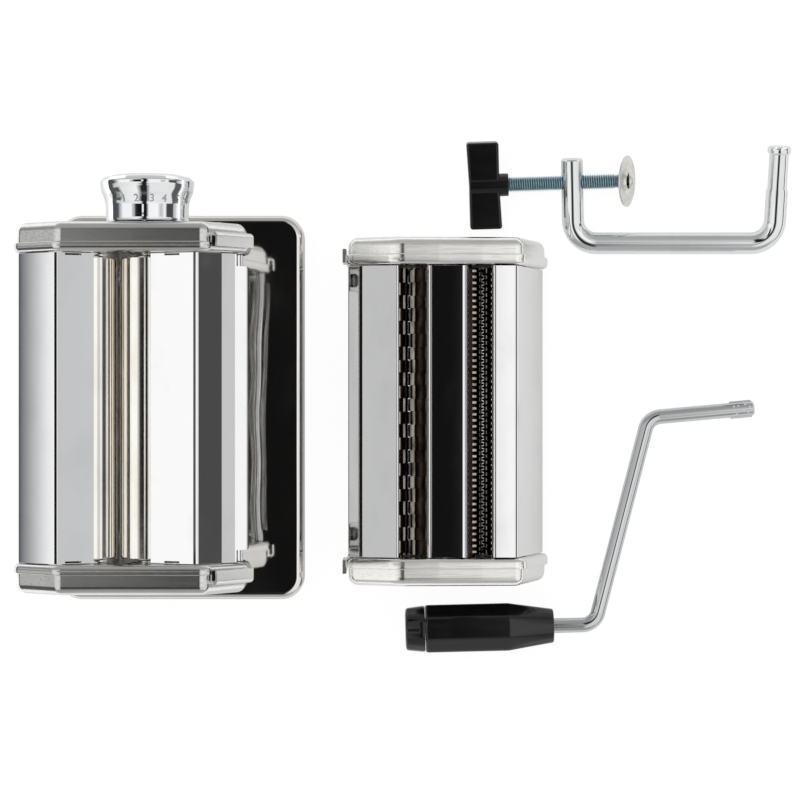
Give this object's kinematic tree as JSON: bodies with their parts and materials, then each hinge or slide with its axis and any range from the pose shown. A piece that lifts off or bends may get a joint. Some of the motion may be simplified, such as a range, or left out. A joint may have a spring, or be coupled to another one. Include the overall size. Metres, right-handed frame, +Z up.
{
  "type": "pasta roller machine",
  "caption": "Hand-cranked pasta roller machine on a flat base, laid out with its double cutter attachment, table clamp and crank",
  "frame": {"origin": "bottom centre of the whole set as it is laid out, on the table", "axes": "+Z up; the rollers lie along Y with the knob at +Y; +X is the machine's front, where the cutter attachment lies"},
  "size_m": [0.403, 0.2774, 0.146],
  "materials": {
    "chromed_base": "mirror polished steel",
    "brushed_ends": "satin brushed",
    "mirror_covers": "mirror polished",
    "nickel_rollers": "nickel plated",
    "chrome_rods": "chrome plated",
    "plain_steel": "plain machined",
    "blue_zinc": "blue passivated zinc",
    "grey_zinc": "dull zinc",
    "matt_black": "moulded matt",
    "gloss_black": "glossy",
    "black_rubber": "moulded"
  },
  "bodies": {
    "machine_frame": {"base_tray": "chromed_base", "clamp_socket": "plain_steel", "rubber_foot_1": "black_rubber", "base_screw_1": "plain_steel", "rubber_foot_2": "black_rubber", "base_screw_2": "plain_steel", "rubber_foot_3": "black_rubber", "base_screw_3": "plain_steel", "rubber_foot_4": "black_rubber", "base_screw_4": "plain_steel", "side_frame_knob": "brushed_ends", "side_frame_crank": "brushed_ends", "end_cap_knob": "brushed_ends", "end_cap_crank": "brushed_ends", "back_cover": "mirror_covers", "front_hopper": "mirror_covers", "tie_rod_front": "chrome_rods", "tie_rod_back": "chrome_rods", "scraper_back": "plain_steel", "scraper_front": "plain_steel", "cutter_rail_knob": "brushed_ends", "cutter_rail_crank": "brushed_ends", "roller_bush_knob": "nickel_rollers", "roller_bush_crank": "nickel_rollers"},
    "drive_rollers": {"drive_roller": "nickel_rollers", "drive_gear": "plain_steel"},
    "roller_carriage": {"yoke_knob": "plain_steel", "yoke_crank": "plain_steel"},
    "adjusted_roller": {"adjust_roller": "nickel_rollers", "adjust_gear": "plain_steel"},
    "knob_spindle": {"eccentric_spindle": "plain_steel", "knob_spring": "plain_steel"},
    "knob": {"thickness_knob": "chrome_rods"},
    "cutter_frame": {"cutter_plate_far": "brushed_ends", "cutter_plate_crank": "brushed_ends", "cutter_cap_far": "brushed_ends", "cutter_cap_crank": "brushed_ends", "cutter_cover_left": "mirror_covers", "cutter_cover_centre": "mirror_covers", "cutter_cover_right": "mirror_covers", "wide_comb": "plain_steel", "fine_comb": "plain_steel", "cutter_rod_left": "chrome_rods", "cutter_rod_right": "chrome_rods"},
    "wide_cutter_a": {"wide_roller_a": "nickel_rollers", "wide_gear_a": "plain_steel"},
    "wide_cutter_b": {"wide_roller_b": "nickel_rollers", "wide_gear_b": "plain_steel"},
    "fine_cutter_a": {"fine_roller_a": "nickel_rollers", "fine_gear_a": "plain_steel"},
    "fine_cutter_b": {"fine_roller_b": "nickel_rollers", "fine_gear_b": "plain_steel"},
    "clamp_frame": {"clamp_bar": "chrome_rods"},
    "screw_carriage": {"pad_rivet": "grey_zinc"},
    "clamp_screw_and_knob": {"clamp_screw": "blue_zinc", "clamp_wing_knob": "matt_black"},
    "pad": {"clamp_pad": "grey_zinc"},
    "crank": {"crank_rod": "chrome_rods"},
    "grip": {"crank_grip": "gloss_black", "grip_end_cap": "gloss_black"}
  },
  "joints": [
    {"name": "drive_turn", "type": "hinge", "parent": "machine_frame", "child": "drive_rollers", "pos_m": [-0.16494, -0.00577, 0.117], "axis": [0, 1, 0], "continuous": true},
    {"name": "knob_turn", "type": "hinge", "parent": "machine_frame", "child": "knob_spindle", "pos_m": [-0.13614, 0.08623, 0.117], "axis": [0, -1, 0], "range_deg": [-38.1, 57.1]},
    {"name": "gap_adjust", "type": "slide", "parent": "machine_frame", "child": "roller_carriage", "axis": [-1, 0, 0], "range_m": [-0.0008, 0.0012]},
    {"name": "adjust_turn", "type": "hinge", "parent": "roller_carriage", "child": "adjusted_roller", "pos_m": [-0.13594, -0.00577, 0.117], "axis": [0, 1, 0], "continuous": true},
    {"name": "knob_pull", "type": "slide", "parent": "knob_spindle", "child": "knob", "axis": [0, 1, 0], "range_m": [0, 0.004], "stiffness_N_per_m": 500, "springref_m": -0.003, "deforming": ["knob_spring"]},
    {"name": "cutter_lift", "type": "slide", "parent": "machine_frame", "child": "cutter_frame", "axis": [0, 0, 1], "range_m": [0, 0.12]},
    {"name": "wide_a_turn", "type": "hinge", "parent": "cutter_frame", "child": "wide_cutter_a", "pos_m": [-0.01439, -0.00777, 0.038], "axis": [0, 1, 0], "continuous": true},
    {"name": "wide_b_turn", "type": "hinge", "parent": "cutter_frame", "child": "wide_cutter_b", "pos_m": [0.00461, -0.00777, 0.038], "axis": [0, 1, 0], "continuous": true},
    {"name": "fine_a_turn", "type": "hinge", "parent": "cutter_frame", "child": "fine_cutter_a", "pos_m": [0.02481, -0.00777, 0.038], "axis": [0, 1, 0], "continuous": true},
    {"name": "fine_b_turn", "type": "hinge", "parent": "cutter_frame", "child": "fine_cutter_b", "pos_m": [0.04381, -0.00777, 0.038], "axis": [0, 1, 0], "continuous": true},
    {"name": "clamp_lift", "type": "slide", "parent": "machine_frame", "child": "clamp_frame", "axis": [0, 0, 1], "range_m": [0, 0.12]},
    {"name": "screw_travel", "type": "slide", "parent": "clamp_frame", "child": "screw_carriage", "axis": [0.9995, 0.0308, 0.0063], "range_m": [-0.017, 0.027]},
    {"name": "screw_turn", "type": "hinge", "parent": "screw_carriage", "child": "clamp_screw_and_knob", "pos_m": [0.08357, 0.11594, 0.01255], "axis": [0.9995, 0.0308, 0.0063], "range_deg": [-4898, 7778]},
    {"name": "pad_swivel", "type": "hinge", "parent": "screw_carriage", "child": "pad", "pos_m": [0.11056, 0.11677, 0.01272], "axis": [-0.0314, 0.9791, 0.201], "range_deg": [-1, 35]},
    {"name": "crank_lift", "type": "slide", "parent": "machine_frame", "child": "crank", "axis": [0, 0, 1], "range_m": [0, 0.12]},
    {"name": "grip_spin", "type": "hinge", "parent": "crank", "child": "grip", "pos_m": [0.03575, -0.12479, 0.01322], "axis": [-0.9997, -0.0244, 0.0019], "continuous": true}
  ],
  "couplings": [
    {"joint": "adjust_turn", "follows": "drive_turn", "ratio": -1},
    {"joint": "knob_turn", "follows": "gap_adjust", "rad_per_m": 829.03},
    {"joint": "wide_b_turn", "follows": "wide_a_turn", "ratio": -1},
    {"joint": "fine_b_turn", "follows": "fine_a_turn", "ratio": -1},
    {"joint": "screw_turn", "follows": "screw_travel", "rad_per_m": 5026.5}
  ]
}
